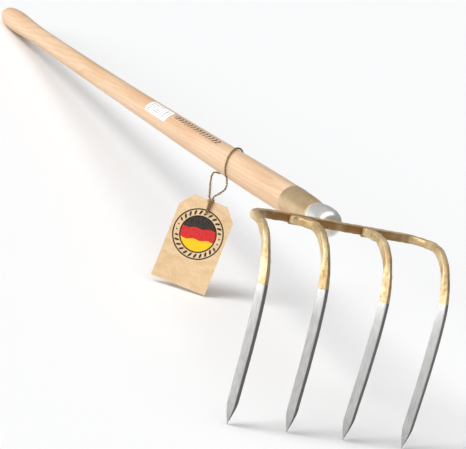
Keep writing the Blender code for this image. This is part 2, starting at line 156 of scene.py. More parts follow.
# Route of the twine: from the knot, up in front, round the handle, and back down to the knot
TWINE_ROUTE = [
    (-0.3112, -0.0192, -0.0432), (-0.3100, -0.0142, -0.0385), (-0.3090, -0.0088, -0.0322),
    (-0.3094, -0.0074, -0.0256), (-0.3100, -0.0091, -0.0188), (-0.3055, -0.0142, -0.0130),
    (-0.3040, -0.0168, -0.0054), (-0.3060, -0.0162, 0.0023), (-0.3110, -0.0129, 0.0088),
    (-0.3180, -0.0072, 0.0139), (-0.3270, 0.0001, 0.0165), (-0.3360, 0.0081, 0.0161),
    (-0.3440, 0.0157, 0.0125), (-0.3520, 0.0212, 0.0061), (-0.3590, 0.0237, -0.0019),
    (-0.3645, 0.0227, -0.0101), (-0.3685, 0.0185, -0.0172), (-0.3702, 0.0121, -0.0218),
    (-0.3708, 0.0055, -0.0237), (-0.3708, 0.0003, -0.0234), (-0.3700, -0.0035, -0.0247),
    (-0.3688, -0.0050, -0.0281), (-0.3655, -0.0062, -0.0318), (-0.3580, -0.0088, -0.0360),
    (-0.3480, -0.0118, -0.0397),
    (-0.3360, -0.0156, -0.0428), (-0.3240, -0.0200, -0.0446), (-0.3142, -0.0234, -0.0452),
]


def tool_frame():
    """Where the frame has the tool, read from the two rests on the back of its crossbar."""
    rests = frame["record"]["mounts"]
    ahead = -Vector(rests[0]["axis"]).normalized()
    aside = Vector((0, 1, 0))
    up = ahead.cross(aside)
    middle = (Vector(rests[0]["pos_m"]) + Vector(rests[1]["pos_m"])) / 2
    origin = middle + ahead * BAR_HALF_DEPTH - up * BAR_RISE
    axes = Matrix((ahead, aside, up)).transposed()
    return Matrix.Translation(origin) @ axes.to_4x4()


def tag_frame():
    """The tag's own frame at its hole, in the tool's frame: X out of its face, Y across it and Z up it."""
    level = TOOL.to_3x3().transposed()
    hang = level @ Matrix.Rotation(TAG_TURN, 3, "Z") @ Matrix.Rotation(TAG_TILT, 3, "Y")
    hole = Vector(KNOT_AT) - hang.col[2] * HOLE_BELOW_KNOT
    return Matrix.Translation(hole) @ (hang @ Matrix.Rotation(TAG_LEAN, 3, "X")).to_4x4()


TOOL = tool_frame()
TAG = TOOL @ tag_frame()


# ---------------------------------------------------------------- shapes


def smooth_line(points, steps):
    """Points on one smooth curve through the given ones, with this many steps in each span."""
    points = [Vector(p) for p in points]
    line = []
    for i in range(len(points) - 1):
        a, b = points[i], points[i + 1]
        before = points[i - 1] if i else a
        after = points[i + 2] if i + 2 < len(points) else b
        line += interpolate_bezier(a, a + (b - before) / 6, b - (after - a) / 6, b, steps + 1)[:-1]
    return line + [points[-1]]


def travelled(line):
    """How far along a line each of its points lies."""
    lengths = [0.0]
    for a, b in zip(line, line[1:]):
        lengths.append(lengths[-1] + (b - a).length)
    return lengths


def smooth_profile(profile, steps):
    return [(p.x, p.y) for p in smooth_line([(d, r, 0) for d, r in profile], steps)]


def between(profile, at):
    """Read a list of (place, value) pairs at a place between them."""
    for (a, va), (b, vb) in zip(profile, profile[1:]):
        if at <= b:
            return va + (vb - va) * (at - a) / (b - a)
    return profile[-1][1]


def ease(value, low, high):
    """0 below low, 1 above high, and a smooth rise between them."""
    t = min(max((value - low) / (high - low), 0.0), 1.0)
    return t * t * (3 - 2 * t)


def skin(name, rings, to_world, uv, finish, looped=False):
    """A closed piece over rings of points, put in its place. uv(ring, column) is a point of its map."""
    count = len(rings[0])
    points = [to_world @ Vector(point) for ring in rings for point in ring]
    faces, maps = [], []
    spans = len(rings) if looped else len(rings) - 1
    for r in range(spans):
        here, there = r * count, (r + 1) % len(rings) * count
        for i in range(count):
            j = (i + 1) % count
            faces.append((here + i, here + j, there + j, there + i))
            maps += [uv(r, i), uv(r, i + 1), uv(r + 1, i + 1), uv(r + 1, i)]
    if not looped:
        last = len(rings) - 1
        faces.append(tuple(reversed(range(count))))
        maps += [uv(0, i) for i in reversed(range(count))]
        faces.append(tuple(range(last * count, (last + 1) * count)))
        maps += [uv(last, i) for i in range(count)]
    return put(name, mapped_mesh(name, points, faces, maps), finish)


def mapped_mesh(name, points, faces, maps):
    """A mesh with a map that gives each corner of each face its own point."""
    mesh = bpy.data.meshes.new(name)
    mesh.from_pydata(points, [], faces)
    layer = mesh.uv_layers.new(name="UVMap")
    for loop, place in zip(layer.data, maps):
        loop.uv = place
    return mesh


def show(name, data):
    """A new object in the scene, at the origin."""
    shown = bpy.data.objects.new(name, data)
    bpy.context.scene.collection.objects.link(shown)
    return shown


def put(name, mesh, finish):
    """Show a mesh as a piece with outward faces, smooth shading and one material."""
    work = bmesh.new()
    work.from_mesh(mesh)
    bmesh.ops.recalc_face_normals(work, faces=work.faces)
    work.to_mesh(mesh)
    work.free()
    mesh.shade_smooth()
    mesh.materials.append(finish)
    return show(name, mesh)


def belongs(piece, body, slot, *nodes):
    """The piece moves with a body and stands for CAD nodes. slot is not used."""
    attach(piece, body)
    if nodes:
        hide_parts(*nodes)
    return piece


def raise_surface(piece, height_at):
    """Move each point of a piece along its normal by height_at(point in the tool's frame, its index)."""
    mesh = piece.data
    back = TOOL.inverted()
    moves = [v.normal * height_at(back @ v.co, v.index) for v in mesh.vertices]
    for vertex, move in zip(mesh.vertices, moves):
        vertex.co += move


# ---------------------------------------------------------------- handle, ferrule and cap


def handle_centre(x):
    """Where the handle's centreline crosses a given X."""
    share = (WOOD_END_X - x) / (WOOD_END_X - KNOB_END_X)
    bend = 4 * share * (1 - share) if share > 0 else 4 * share
    return Vector((x, BOW_SIDE * bend, -BOW_DOWN * bend))


def circle(x, radius, sides):
    centre = handle_centre(x)
    turns = [tau * i / sides for i in range(sides)]
    return [centre + Vector((0, radius * cos(t), radius * sin(t))) for t in turns]


def turned(name, stations, sides, finish, looped=False):
    """A piece turned about the handle's centreline through (x, radius) stations, mapped by x and by turns."""
    rings = [circle(x, r, sides) for x, r in stations]

    def uv(ring, column):
        return stations[ring % len(stations)][0], column / sides

    return skin(name, rings, TOOL, uv, finish, looped)


def wood_radius(x):
    return between(WOOD_PROFILE, x - KNOB_END_X)


def make_handle(finish):
    """Turned ash, stepped down where it enters the ferrule."""
    stations = [(KNOB_END_X + d, max(r - WOOD_SLIMMER, 0.1 * MM)) for d, r in smooth_profile(WOOD_PROFILE, 12)]
    step = FERRULE_PROFILE[0][1] - SHEET_WALL - FIT_GAP
    nose = FERRULE_PROFILE[-1][1] - SHEET_WALL - 3 * FIT_GAP
    stations += [(WOOD_END_X + 0.2 * MM, step), (CAP_RIM_X, nose), (NOSE_END_X, NOSE_RADIUS)]
    piece = turned("ash_handle", stations, 72, finish)
    return belongs(piece, "fork", "ash_wood", "handle")


def sheet_stations(start_x, profile, steps):
    """Both faces of a spun sheet shell, with rounded edges."""
    outside = [(start_x + d, r) for d, r in smooth_profile(profile, steps)]
    inside = [(x, r - SHEET_WALL) for x, r in reversed(outside)]
    round_by = 0.25 * SHEET_WALL
    outside[0] = (outside[0][0] + round_by, outside[0][1])
    inside[-1] = (inside[-1][0] + round_by, inside[-1][1])
    back_edge = [(start_x, inside[-1][1] + round_by), (start_x, outside[0][1] - round_by)]
    return outside, inside + back_edge


def make_ferrule(finish):
    outside, rest = sheet_stations(WOOD_END_X, FERRULE_PROFILE, 8)
    piece = turned("lacquered_ferrule", outside + rest, 72, finish, looped=True)
    return belongs(piece, "fork", "gold_lacquer", "ferrule")


def make_cap(finish):
    # Closed up round the tang by one more point
    profile = [(d, r - CAP_SLIMMER) for d, r in CAP_PROFILE] + [(0.0442, 0.0050)]
    outside, rest = sheet_stations(CAP_RIM_X, profile, 8)
    piece = turned("zinc_cap", outside + rest, 72, finish, looped=True)
    return belongs(piece, "fork", "zinc", "ferrule_cap")


# ---------------------------------------------------------------- forged head

# How square the bar stays where it is bent: the hammer rounds its corners there
BENT_EDGE = 3.2
# Turns at which a forged section has points: close together near its corners
SECTION_TURNS = [
    radians(45 * sector + turn) for sector in range(8) for turn in (0, 2.5, 7, 14, 22.5, 31, 38, 42.5)
]


def squareness(turn, sharpness):
    """Distance from the middle to the edge of a square of half width 1 with rounded corners."""
    return (abs(cos(turn)) ** sharpness + abs(sin(turn)) ** sharpness) ** (-1 / sharpness)


def section(centre, across, up, half_across, half_up, diamond=0.0, diagonal=0.0, edge=6.0):
    """A ring of a forged bar: a square, a diamond stood on its corner, or a shape between them. A low edge
    rounds the square's corners."""
    ring = []
    for turn in SECTION_TURNS:
        square = squareness(turn, edge)
        tipped = squareness(turn + pi / 4, 16) / sqrt(2) * diagonal
        a = cos(turn) * ((1 - diamond) * square * half_across + diamond * tipped)
        u = sin(turn) * ((1 - diamond) * square * half_up + diamond * tipped)
        ring.append(centre + across * a + up * u)
    return ring


def tine_rings(tine, side, bend_depth=0.0):
    """Rings of a tine from its root to its point, with how far each lies below the end of the lacquer."""
    line = smooth_line([(x, 0, z) for x, z in TINE_LINE], 14)
    lengths = travelled(line)
    across = Vector((0, side, 0))
    lean = tan(radians(TINE_LEAN[tine]))
    rings, below = [], []
    for i, (p, s) in enumerate(zip(line, lengths)):
        along = (line[min(i + 1, len(line) - 1)] - line[max(i - 1, 0)]).normalized()
        up = Vector((-along.z, 0, along.x))
        drop = -p.z
        diamond = ease(drop, DIAMOND_FROM_DROP, DIAMOND_BY_DROP)
        left = min((lengths[-1] - s) / POINT_LENGTH, 1.0)
        sharp = max(0.06, 1 - (1 - left) ** 1.35)
        diagonal = between(TINE_DIAGONALS, max(drop, TINE_DIAGONALS[0][0])) * sharp
        centre = Vector((p.x, side * TINE_Y[tine] - drop * lean, p.z + BAR_RISE))
        half = TINE_ROOT_HALF * sharp
        ring = section(centre, across, up, half, half * 0.9, diamond, diagonal, BENT_EDGE)
        deeper = bend_depth * ease(s, *BEND_FROM) * (1 - ease(s, *BEND_TO))
        rings.append([q - up * deeper * max((centre - q).dot(up) / half, 0.0) for q in ring])
        below.append(drop - LACQUER_ENDS[tine])
    return rings, below


def corner_distance(angle, reach_back, reach_side, radius):
    """Distance from a corner's pivot to its rounded outside, along a ray turned by angle from straight back."""
    back, aside = cos(angle), sin(angle)
    square = min(reach_back / back, reach_side / max(aside, 1e-9))
    centre = Vector((reach_back - radius, reach_side - radius))
    ray = Vector((back, aside))
    ahead = centre.dot(ray)
    gap = centre.length_squared - ahead * ahead
    rounded = ahead + sqrt(max(radius * radius - gap, 0.0))
    hit = ray * rounded
    return rounded if hit.x > centre.x and hit.y > centre.y else square


def bar_half(tine, side):
    """Rings from the middle of the crossbar, round the corner and down one outer tine."""
    up = Vector((0, 0, 1))
    back = Vector((-1, 0, 0))
    straight_y = TINE_Y[tine] - TINE_ROOT_HALF - CORNER_FILLET
    rings = []
    straight = 44
    for i in range(straight + 1):
        y = 1 * MM + (straight_y - 1 * MM) * i / straight
        rings.append(section(Vector((0, side * y, BAR_RISE)), back, up, BAR_HALF_DEPTH, BAR_HALF_HEIGHT))
    pivot = Vector((BAR_HALF_DEPTH + CORNER_FILLET, side * straight_y, BAR_RISE))
    reach_back = CORNER_FILLET + 2 * BAR_HALF_DEPTH
    reach_side = CORNER_FILLET + 2 * TINE_ROOT_HALF
    steps = 30
    for i in range(1, steps):
        angle = pi / 2 * i / steps
        outward = Vector((-cos(angle), side * sin(angle), 0))
        outer = corner_distance(angle, reach_back, reach_side, CORNER_OUTER_RADIUS)
        middle, half = (outer + CORNER_FILLET) / 2, (outer - CORNER_FILLET) / 2
        lift = Vector((0, 0, TINE_LINE[0][1] * i / steps))
        edge = 6.0 + (BENT_EDGE - 6.0) * ease(i / steps, 0.0, 0.4)
        rings.append(section(pivot + outward * middle + lift, outward, up, half, BAR_HALF_HEIGHT, edge=edge))
    tine_part, below = tine_rings(tine, side)
    return rings + tine_part, [-LACQUER_ENDS[tine]] * len(rings) + below


def forged(name, rings, below, finish):
    """A forged piece, mapped by how far below the lacquer's end it lies and by its turn."""
    turns = [t / tau for t in SECTION_TURNS] + [1.0]

    def uv(ring, column):
        return below[ring], turns[column]

    piece = skin(name, rings, TOOL, uv, finish)
    count = len(SECTION_TURNS)
    raise_surface(piece, lambda point, index: hammered(point, below[index // count]))
    return piece


def hammered(point, below):
    """How deep the hammer has dished the surface: facets and drawn ridges that fade out where the tine is
    ground. The surface only goes in, so that the piece keeps its size."""
    rough = 1 - 0.85 * ease(below, -30 * MM, 12 * MM)
    dishes = min(noise.voronoi(point * 120)[0][0] / 0.6, 1.0)
    waves = 0.5 + 0.5 * noise.noise(point * 75)
    ridges = 0.5 + 0.5 * noise.noise(Vector((point.x * 60, point.y * 400, point.z * 170)))
    return -rough * MM * (0.50 * (1 - dishes) + 0.40 * waves + 0.25 * ridges)


def make_bar_and_outer_tines(finish):
    left, left_below = bar_half("outer_left", -1)
    right, right_below = bar_half("outer_right", 1)
    piece = forged("crossbar_and_outer_tines", left[::-1] + right, left_below[::-1] + right_below, finish)
    return belongs(piece, "fork", "forged_gold", "crossbar_outer_tines")


def make_inner_tine(tine, side, node, finish):
    """A tine whose foot widens to the left where it is welded to the front of the crossbar."""
    up = Vector((0, 0, 1))
    across = Vector((0, side, 0))
    rings = []
    for ahead, share in smooth_profile(FOOT_PROFILE, 5):
        x = BAR_HALF_DEPTH + FIT_GAP + ahead
        reach = FOOT_REACH[tine] * share
        lift = TINE_LINE[0][1] * x / TINE_LINE[0][0]
        centre = Vector((x, side * TINE_Y[tine] - reach / 2, BAR_RISE + lift))
        rings.append(section(centre, across, up, TINE_ROOT_HALF + reach / 2, BAR_HALF_HEIGHT, edge=4.5))
    tine_part, below = tine_rings(tine, side, BEND_DEPTH)
    below = [-LACQUER_ENDS[tine]] * len(rings) + below
    piece = forged("welded_" + tine + "_tine", rings + tine_part, below, finish)
    return belongs(piece, "fork", "forged_gold", node)


# ---------------------------------------------------------------- paper, card and twine


def sheet(name, outline, hole, steps, place, to_world, finish, looped=False):
    """A thin sheet: over its front from a hole to its outline, and back over its rear, which lies 1 m away on
    the map, clear of the print. outline and hole are (across, up) points seen in the same directions.
    place(across, up, front) gives 3-D."""
    shares = [i / steps for i in range(steps + 1)]
    flats = [[Vector(h).lerp(Vector(o), share) for h, o in zip(hole, outline)] for share in shares]
    rings = [[place(p.x, p.y, True) for p in flat] for flat in flats]
    rings += [[place(p.x, p.y, False) for p in flat] for flat in flats[::-1]]
    flats += flats[::-1]

    def uv(ring, column):
        ring %= len(rings)
        spot = flats[ring][column % len(outline)]
        return spot.x + (0.0 if ring <= steps else 1.0), spot.y

    return skin(name, rings, to_world, uv, finish, looped)


def make_sticker(finish):
    """Thin printed paper, wrapped round the wood, with rounded corners."""
    middle_x = sum(STICKER_X) / 2
    middle_turn = sum(STICKER_ANGLES) / 2
    radius = wood_radius(middle_x)
    half_long = (STICKER_X[1] - STICKER_X[0]) / 2
    half_round = (STICKER_ANGLES[1] - STICKER_ANGLES[0]) / 2 * radius
    corner = 3.5 * MM
    corners = []
    for cx, cy, start in ((1, 1, 0), (-1, 1, 90), (-1, -1, 180), (1, -1, 270)):
        for k in range(7):
            turn = radians(start + 15 * k)
            x = cx * (half_long - corner) + corner * cos(turn)
            y = cy * (half_round - corner) + corner * sin(turn)
            corners.append((x, y))
    outline = []
    for (ax, ay), (bx, by) in zip(corners, corners[1:] + corners[:1]):
        parts = max(1, round(hypot(bx - ax, by - ay) / (2 * MM)))
        outline += [(ax + (bx - ax) * k / parts, ay + (by - ay) * k / parts) for k in range(parts)]
    hole = [(x * 0.02, y * 0.02) for x, y in outline]

    def place(along, round_by, front):
        x = middle_x + along
        base = wood_radius(x) + FIT_GAP * 0.4
        out = base + (STICKER_THICKNESS * 0.5 if front else 0.0)
        turn = middle_turn + round_by / radius
        return handle_centre(x) + out * Vector((0, cos(turn), sin(turn)))

    piece = sheet("paper_sticker", outline, hole, 14, place, TOOL, finish)
    return belongs(piece, "fork", "white_paper", "price_sticker")


def tag_outline_point(turn):
    """Where a ray from the hole, turned from straight across, leaves the card's outline."""
    half = TAG_WIDTH / 2
    y, z = cos(turn), sin(turn)
    slope = Vector((TAG_CUT_DOWN, TAG_CUT_ACROSS)).normalized()
    edge = Vector((half, TAG_TOP - TAG_CUT_DOWN)).dot(slope)
    reaches = [half / max(abs(y), 1e-9), (TAG_TOP if z > 0 else -TAG_BOTTOM) / max(abs(z), 1e-9)]
    if z * slope.y + abs(y) * slope.x > 1e-9:
        reaches.append(edge / (z * slope.y + abs(y) * slope.x))
    return Vector((y, z)) * min(reaches)


def make_tag(finish):
    """Kraft card with two cut corners, a little curled."""
    half = TAG_WIDTH / 2
    corners = [(half, TAG_BOTTOM), (half, TAG_TOP - TAG_CUT_DOWN), (half - TAG_CUT_ACROSS, TAG_TOP)]
    turns = {round(radians(5) * k, 6) for k in range(72)}
    for y, z in corners + [(-y, z) for y, z in corners]:
        turns.add(round(atan2(z, y) % tau, 6))
    turns = sorted(turns)
    outline = [tuple(tag_outline_point(t)) for t in turns]
    hole = [(TAG_HOLE_RADIUS * cos(t), TAG_HOLE_RADIUS * sin(t)) for t in turns]

    def place(y, z, front):
        curl = 0.9 * MM * ((y / half) ** 2 - 0.3) * ease(-z, 0, 0.06) + 0.8 * MM * ease(-z, 0.05, 0.1)
        return Vector((curl + (TAG_THICKNESS / 2 if front else -TAG_THICKNESS / 2), y, z))

    piece = sheet("kraft_tag", outline, hole, 16, place, TAG, finish, looped=True)
    piece.data.set_sharp_from_angle(angle=radians(40))
    return belongs(piece, "tag", "kraft_card", "hang_tag")


def turning_frames(line):
    """Two directions square to a line at each of its points, carried along it without twist."""
    frames = []
    side = None
    for i in range(len(line)):
        along = (line[min(i + 1, len(line) - 1)] - line[max(i - 1, 0)]).normalized()
        side = (side or along.orthogonal()) - along * (side or along.orthogonal()).dot(along)
        side.normalize()
        frames.append((side.copy(), along.cross(side)))
    return frames


def twisted(name, lines, to_world, diameter, finish):
    """Two-ply twine along each line: two round plies laid round each other once in every three diameters."""
    ply_radius, ply_offset = 0.29 * diameter, 0.25 * diameter
    lay, sides = 3.2 * diameter, 8
    points, faces, maps = [], [], []
    for line in lines:
        places, frames = travelled(line), turning_frames(line)
        for ply in range(2):
            first = len(points)
            for p, place, (a, b) in zip(line, places, frames):
                turn = tau * place / lay + pi * ply
                out = a * cos(turn) + b * sin(turn)
                around = b * cos(turn) - a * sin(turn)
                for k in range(sides):
                    t = tau * k / sides
                    offset = out * (ply_offset + ply_radius * cos(t)) + around * ply_radius * sin(t)
                    points.append(to_world @ (p + offset))
            for r, (u0, u1) in enumerate(zip(places, places[1:])):
                here, there = first + r * sides, first + (r + 1) * sides
                for k in range(sides):
                    j = (k + 1) % sides
                    v0, v1 = k / sides, (k + 1) / sides
                    faces.append((here + k, here + j, there + j, there + k))
                    maps += [(u0, v0), (u0, v1), (u1, v1), (u1, v0)]
            for ring in (0, len(line) - 1):
                faces.append(tuple(first + ring * sides + k for k in range(sides)))
                maps += [(places[ring], 0.0)] * sides
    return put(name, mapped_mesh(name, points, faces, maps), finish)


def make_twine(finish):
    line = smooth_line(TWINE_ROUTE, 16)
    piece = twisted("jute_loop", [line], TOOL, TWINE_DIAMETER, finish)
    belongs(piece, "tag", "jute", "tag_twine")
    path = [TOOL @ p for p in line]
    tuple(path[0])
    travelled(line)[-1]
    return piece


def make_knot(finish):
    """The loop's two ends: side by side under a hitch, down the front of the card, through its hole and up
    behind."""
    out = TAG_THICKNESS / 2 + TWINE_DIAMETER * 0.6
    top = HOLE_BELOW_KNOT
    back = tag_frame().inverted()
    lines = []
    for side, end in ((1, TWINE_ROUTE[0]), (-1, TWINE_ROUTE[-1])):
        beside = side * TWINE_DIAMETER * 0.53
        start = back @ Vector(end)
        route = [
            tuple(start), tuple(start.lerp(Vector((out, beside, top - 2.4 * MM)), 0.55)),
            (out, beside, top - 3.4 * MM), (out * 1.1, beside * 1.05, top - 7 * MM), (out, beside, 6 * MM),
            (out, beside * 0.9, 1.8 * MM), (0.3 * MM, beside * 0.75, -0.9 * MM), (-out, beside * 0.9, 1.2 * MM),
            (-out, beside, 6 * MM), (-out, beside, top - 5 * MM), (-out * 0.5, beside * 0.8, top - 2.2 * MM),
        ]
        lines.append(smooth_line(route, 10))
    hitch = []
    steps = 22
    for i in range(steps + 1):
        t = tau * 1.6 * i / steps + radians(110)
        x = 0.5 * MM + 1.9 * MM * cos(t)
        y = 3.1 * MM * sin(t)
        hitch.append((x, y, top - 2.0 * MM - 3.0 * MM * i / steps + 0.5 * MM * sin(t)))
    lines.append(smooth_line(hitch, 5))
    piece = twisted("hitch_knot", lines, TAG, TWINE_DIAMETER, finish)
    return belongs(piece, "tag", "jute", "twine_knot")


# ---------------------------------------------------------------- things that repeat


def new_tree(name, sizes):
    """A Geometry Nodes tree with a mesh in and out, one named input for each size, and one for the finish."""
    tree = bpy.data.node_groups.new(name, "GeometryNodeTree")
    sockets = tree.interface
    sockets.new_socket("Geometry", in_out="INPUT", socket_type="NodeSocketGeometry")
    for size in sizes:
        sockets.new_socket(size, in_out="INPUT", socket_type="NodeSocketFloat")
    sockets.new_socket("Finish", in_out="INPUT", socket_type="NodeSocketMaterial")
    sockets.new_socket("Geometry", in_out="OUTPUT", socket_type="NodeSocketGeometry")
    return tree, add(tree, "NodeGroupInput", out=None)


def close_tree(tree, given, instances):
    real = add(tree, "GeometryNodeRealizeInstances", {"Geometry": instances})
    finished = add(tree, "GeometryNodeSetMaterial", {"Geometry": real, "Material": given["Finish"]})
    add(tree, "NodeGroupOutput", {"Geometry": finished}, out=None)


def bake(name, mesh, tree, sizes, finish):
    """Run a tree over a mesh and keep what it makes as a plain mesh."""
    source = show(name + "_source", mesh)
    modifier = source.modifiers.new("tree", "NODES")
    modifier.node_group = tree
    values = {**sizes, "Finish": finish}
    for socket in tree.interface.items_tree:
        if socket.in_out == "INPUT" and socket.name in values:
            modifier[socket.identifier] = values[socket.name]
    ready = source.evaluated_get(bpy.context.evaluated_depsgraph_get())
    made = bpy.data.meshes.new_from_object(ready)
    made.name = name
    source.modifiers.clear()
    bpy.data.objects.remove(source)
    made.materials.clear()
    return put(name, made, finish)


def fuzz_tree():
    """Short loose fibres that stand off a twine's surface."""
    tree, given = new_tree("twine_fuzz", ("Fibre Length", "Fibre Radius", "Fibres per Area"))
    spread = add(tree, "GeometryNodeDistributePointsOnFaces", {
        "Mesh": given["Geometry"], "Density": given["Fibres per Area"], "Seed": 7,
    }, out=None)
    half = add(tree, TIMES, given["Fibre Length"], 0.5)
    middle = add(tree, "CombineXYZ", {0: add(tree, TIMES, half, 0.5), 2: half})
    end = add(tree, "CombineXYZ", {0: given["Fibre Length"], 2: half})
    arc = add(tree, "GeometryNodeCurveQuadraticBezier", {
        "Resolution": 4, "Start": (0, 0, 0), "Middle": middle, "End": end,
    })
    ring = add(tree, "GeometryNodeCurvePrimitiveCircle", {"Resolution": 3, "Radius": given["Fibre Radius"]})
    fibre = add(tree, "GeometryNodeCurveToMesh", {"Curve": arc, "Profile Curve": ring, "Fill Caps": True})
    most = (0.9, 0.9, 3.1)
    turns = {"Min": tuple(-t for t in most), "Max": most, "Seed": 3}
    spin = add(tree, "FunctionNodeRandomValue", turns, data_type="FLOAT_VECTOR")
    turned_by = {"Rotation": spread["Rotation"], "Rotate By": spin}
    turn = add(tree, "FunctionNodeRotateRotation", turned_by, rotation_space="LOCAL")
    size = add(tree, "FunctionNodeRandomValue", {2: 0.35, 3: 1.0, "Seed": 5}, out=1)
    placed = add(tree, "GeometryNodeInstanceOnPoints", {
        "Points": spread["Points"], "Instance": fibre, "Rotation": turn, "Scale": size,
    })
    close_tree(tree, given, placed)
    return tree


def make_fuzz(name, twine_piece, finish):
    sizes = {"Fibre Length": 2.4 * MM, "Fibre Radius": 0.07 * MM, "Fibres per Area": 420000.0}
    piece = bake(name, twine_piece.data.copy(), fuzz_tree(), sizes, finish)
    return belongs(piece, "tag", "jute")


def weld_tree():
    """Overlapping ripples of weld metal along each edge of a wire mesh."""
    tree, given = new_tree("weld_ripples", ("Ripple Radius", "Ripple Spacing"))
    seam = add(tree, "GeometryNodeMeshToCurve", {"Mesh": given["Geometry"]})
    apart = {"Curve": seam, "Length": given["Ripple Spacing"]}
    spots = add(tree, "GeometryNodeCurveToPoints", apart, out=None, mode="LENGTH")
    drop = add(tree, "GeometryNodeMeshIcoSphere", {"Radius": given["Ripple Radius"], "Subdivisions": 3})
    size = add(tree, "FunctionNodeRandomValue", {2: 0.82, 3: 1.12, "Seed": 11}, out=1)
    placed = add(tree, "GeometryNodeInstanceOnPoints", {
        "Points": spots["Points"], "Instance": drop, "Rotation": spots["Rotation"], "Scale": size,
    })
    close_tree(tree, given, placed)
    return tree


def make_welds(finish):
    """Weld beads above and below each inner tine's foot, in the corner between it and the crossbar."""
    points, edges = [], []
    seam_x = BAR_HALF_DEPTH + FIT_GAP / 2
    for tine, side in (("inner_left", -1), ("inner_right", 1)):
        middle = side * TINE_Y[tine]
        left, right = middle - TINE_ROOT_HALF - FOOT_REACH[tine] + 1 * MM, middle + TINE_ROOT_HALF - 1 * MM
        for z in (BAR_RISE + BAR_HALF_HEIGHT - 0.9 * MM, BAR_RISE - BAR_HALF_HEIGHT + 0.6 * MM):
            points += [TOOL @ Vector((seam_x, y, z)) for y in (left, right)]
            edges.append((len(points) - 2, len(points) - 1))
    mesh = bpy.data.meshes.new("weld_seams")
    mesh.from_pydata(points, edges, [])
    sizes = {"Ripple Radius": 1.25 * MM, "Ripple Spacing": 0.9 * MM}
    piece = bake("weld_beads", mesh, weld_tree(), sizes, finish)
    return belongs(piece, "fork", "forged_gold")


# ---------------------------------------------------------------- materials

# The setting that takes a node's mode, where its kind names one after a dot
MODES = {"Math": "operation", "VectorMath": "operation", "MapRange": "interpolation_type", "Mix": "data_type"}
# Two kinds that are used often: a smooth rise from 0 to 1, or between two other values, and a product
RISE = "MapRange.SMOOTHSTEP"
TIMES = "Math.MULTIPLY"


def linear(hexa):
    """An sRGB hex colour as the linear colour that shaders take."""
    parts = [int(hexa[i:i + 2], 16) / 255 for i in (1, 3, 5)]
    return (*[c / 12.92 if c <= 0.04045 else ((c + 0.055) / 1.055) ** 2.4 for c in parts], 1.0)


def fill(tree, node, inputs):
    """Give a node's inputs their links, plain values or hex colours."""
    for key, value in inputs.items():
        if isinstance(value, bpy.types.NodeSocket):
            tree.links.new(value, node.inputs[key])
        else:
            node.inputs[key].default_value = linear(value) if isinstance(value, str) else value


def add(tree, kind, *values, out=0, **settings):
    """Add a node with its settings and links, and give one of its outputs, or all of them where out is None.
    values fill its inputs in order, or by name or number where they are one dict."""
    name, _, mode = kind.partition(".")
    node = tree.nodes.new(name if "Node" in name else "ShaderNode" + name)
    if mode:
        settings[MODES[name]] = mode
    for key, value in settings.items():
        setattr(node, key, value)
    fill(tree, node, values[0] if values and isinstance(values[0], dict) else dict(enumerate(values)))
    return node.outputs if out is None else node.outputs[out]


def new_material(name):
    made = bpy.data.materials.new(name)
    made.use_nodes = True
    return made, made.node_tree


def finished(made, colour, height=None, depth=0.0, **others):
    """A material whose shader has its colour, a relief of a depth and its other inputs."""
    tree = made.node_tree
    inputs = {"Base Color": colour, **others}
    if height:
        inputs["Normal"] = add(tree, "Bump", {"Height": height, "Distance": depth})
    fill(tree, tree.nodes["Principled BSDF"], inputs)
    return made


def tool_place(tree):
    """Places in the tool's own frame, from Object coordinates."""
    place = add(tree, "TexCoord", out="Object")
    turn = {"Vector": place, "Location": tuple(TOOL.translation), "Rotation": tuple(TOOL.to_euler())}
    return add(tree, "Mapping", turn, vector_type="TEXTURE")


def flat_place(tree):
    """The two directions of a piece's own map, in metres or in shares of a turn."""
    return add(tree, "SeparateXYZ", add(tree, "UVMap", uv_map="UVMap"), out=None)


def grained(tree, place, per_metre, detail=3.0):
    """Noise with its own number of grains to the metre in each direction."""
    scaled = add(tree, "VectorMath.MULTIPLY", place, per_metre)
    return add(tree, "TexNoise", {"Vector": scaled, "Scale": 1.0, "Detail": detail})


def together(tree, share, *others):
    """Several shares multiplied, so that each of them can hold the rest back."""
    for other in others:
        share = add(tree, TIMES, share, other)
    return share


def stained(tree, colour, *layers):
    """A colour with others laid over it one after another. A layer is a share of the surface, a strength where
    it isn't full, and a colour."""
    for share, *strength, over in layers:
        colour = add(tree, "Mix.RGBA", {0: together(tree, share, *strength), 6: colour, 7: over}, out=2)
    return colour


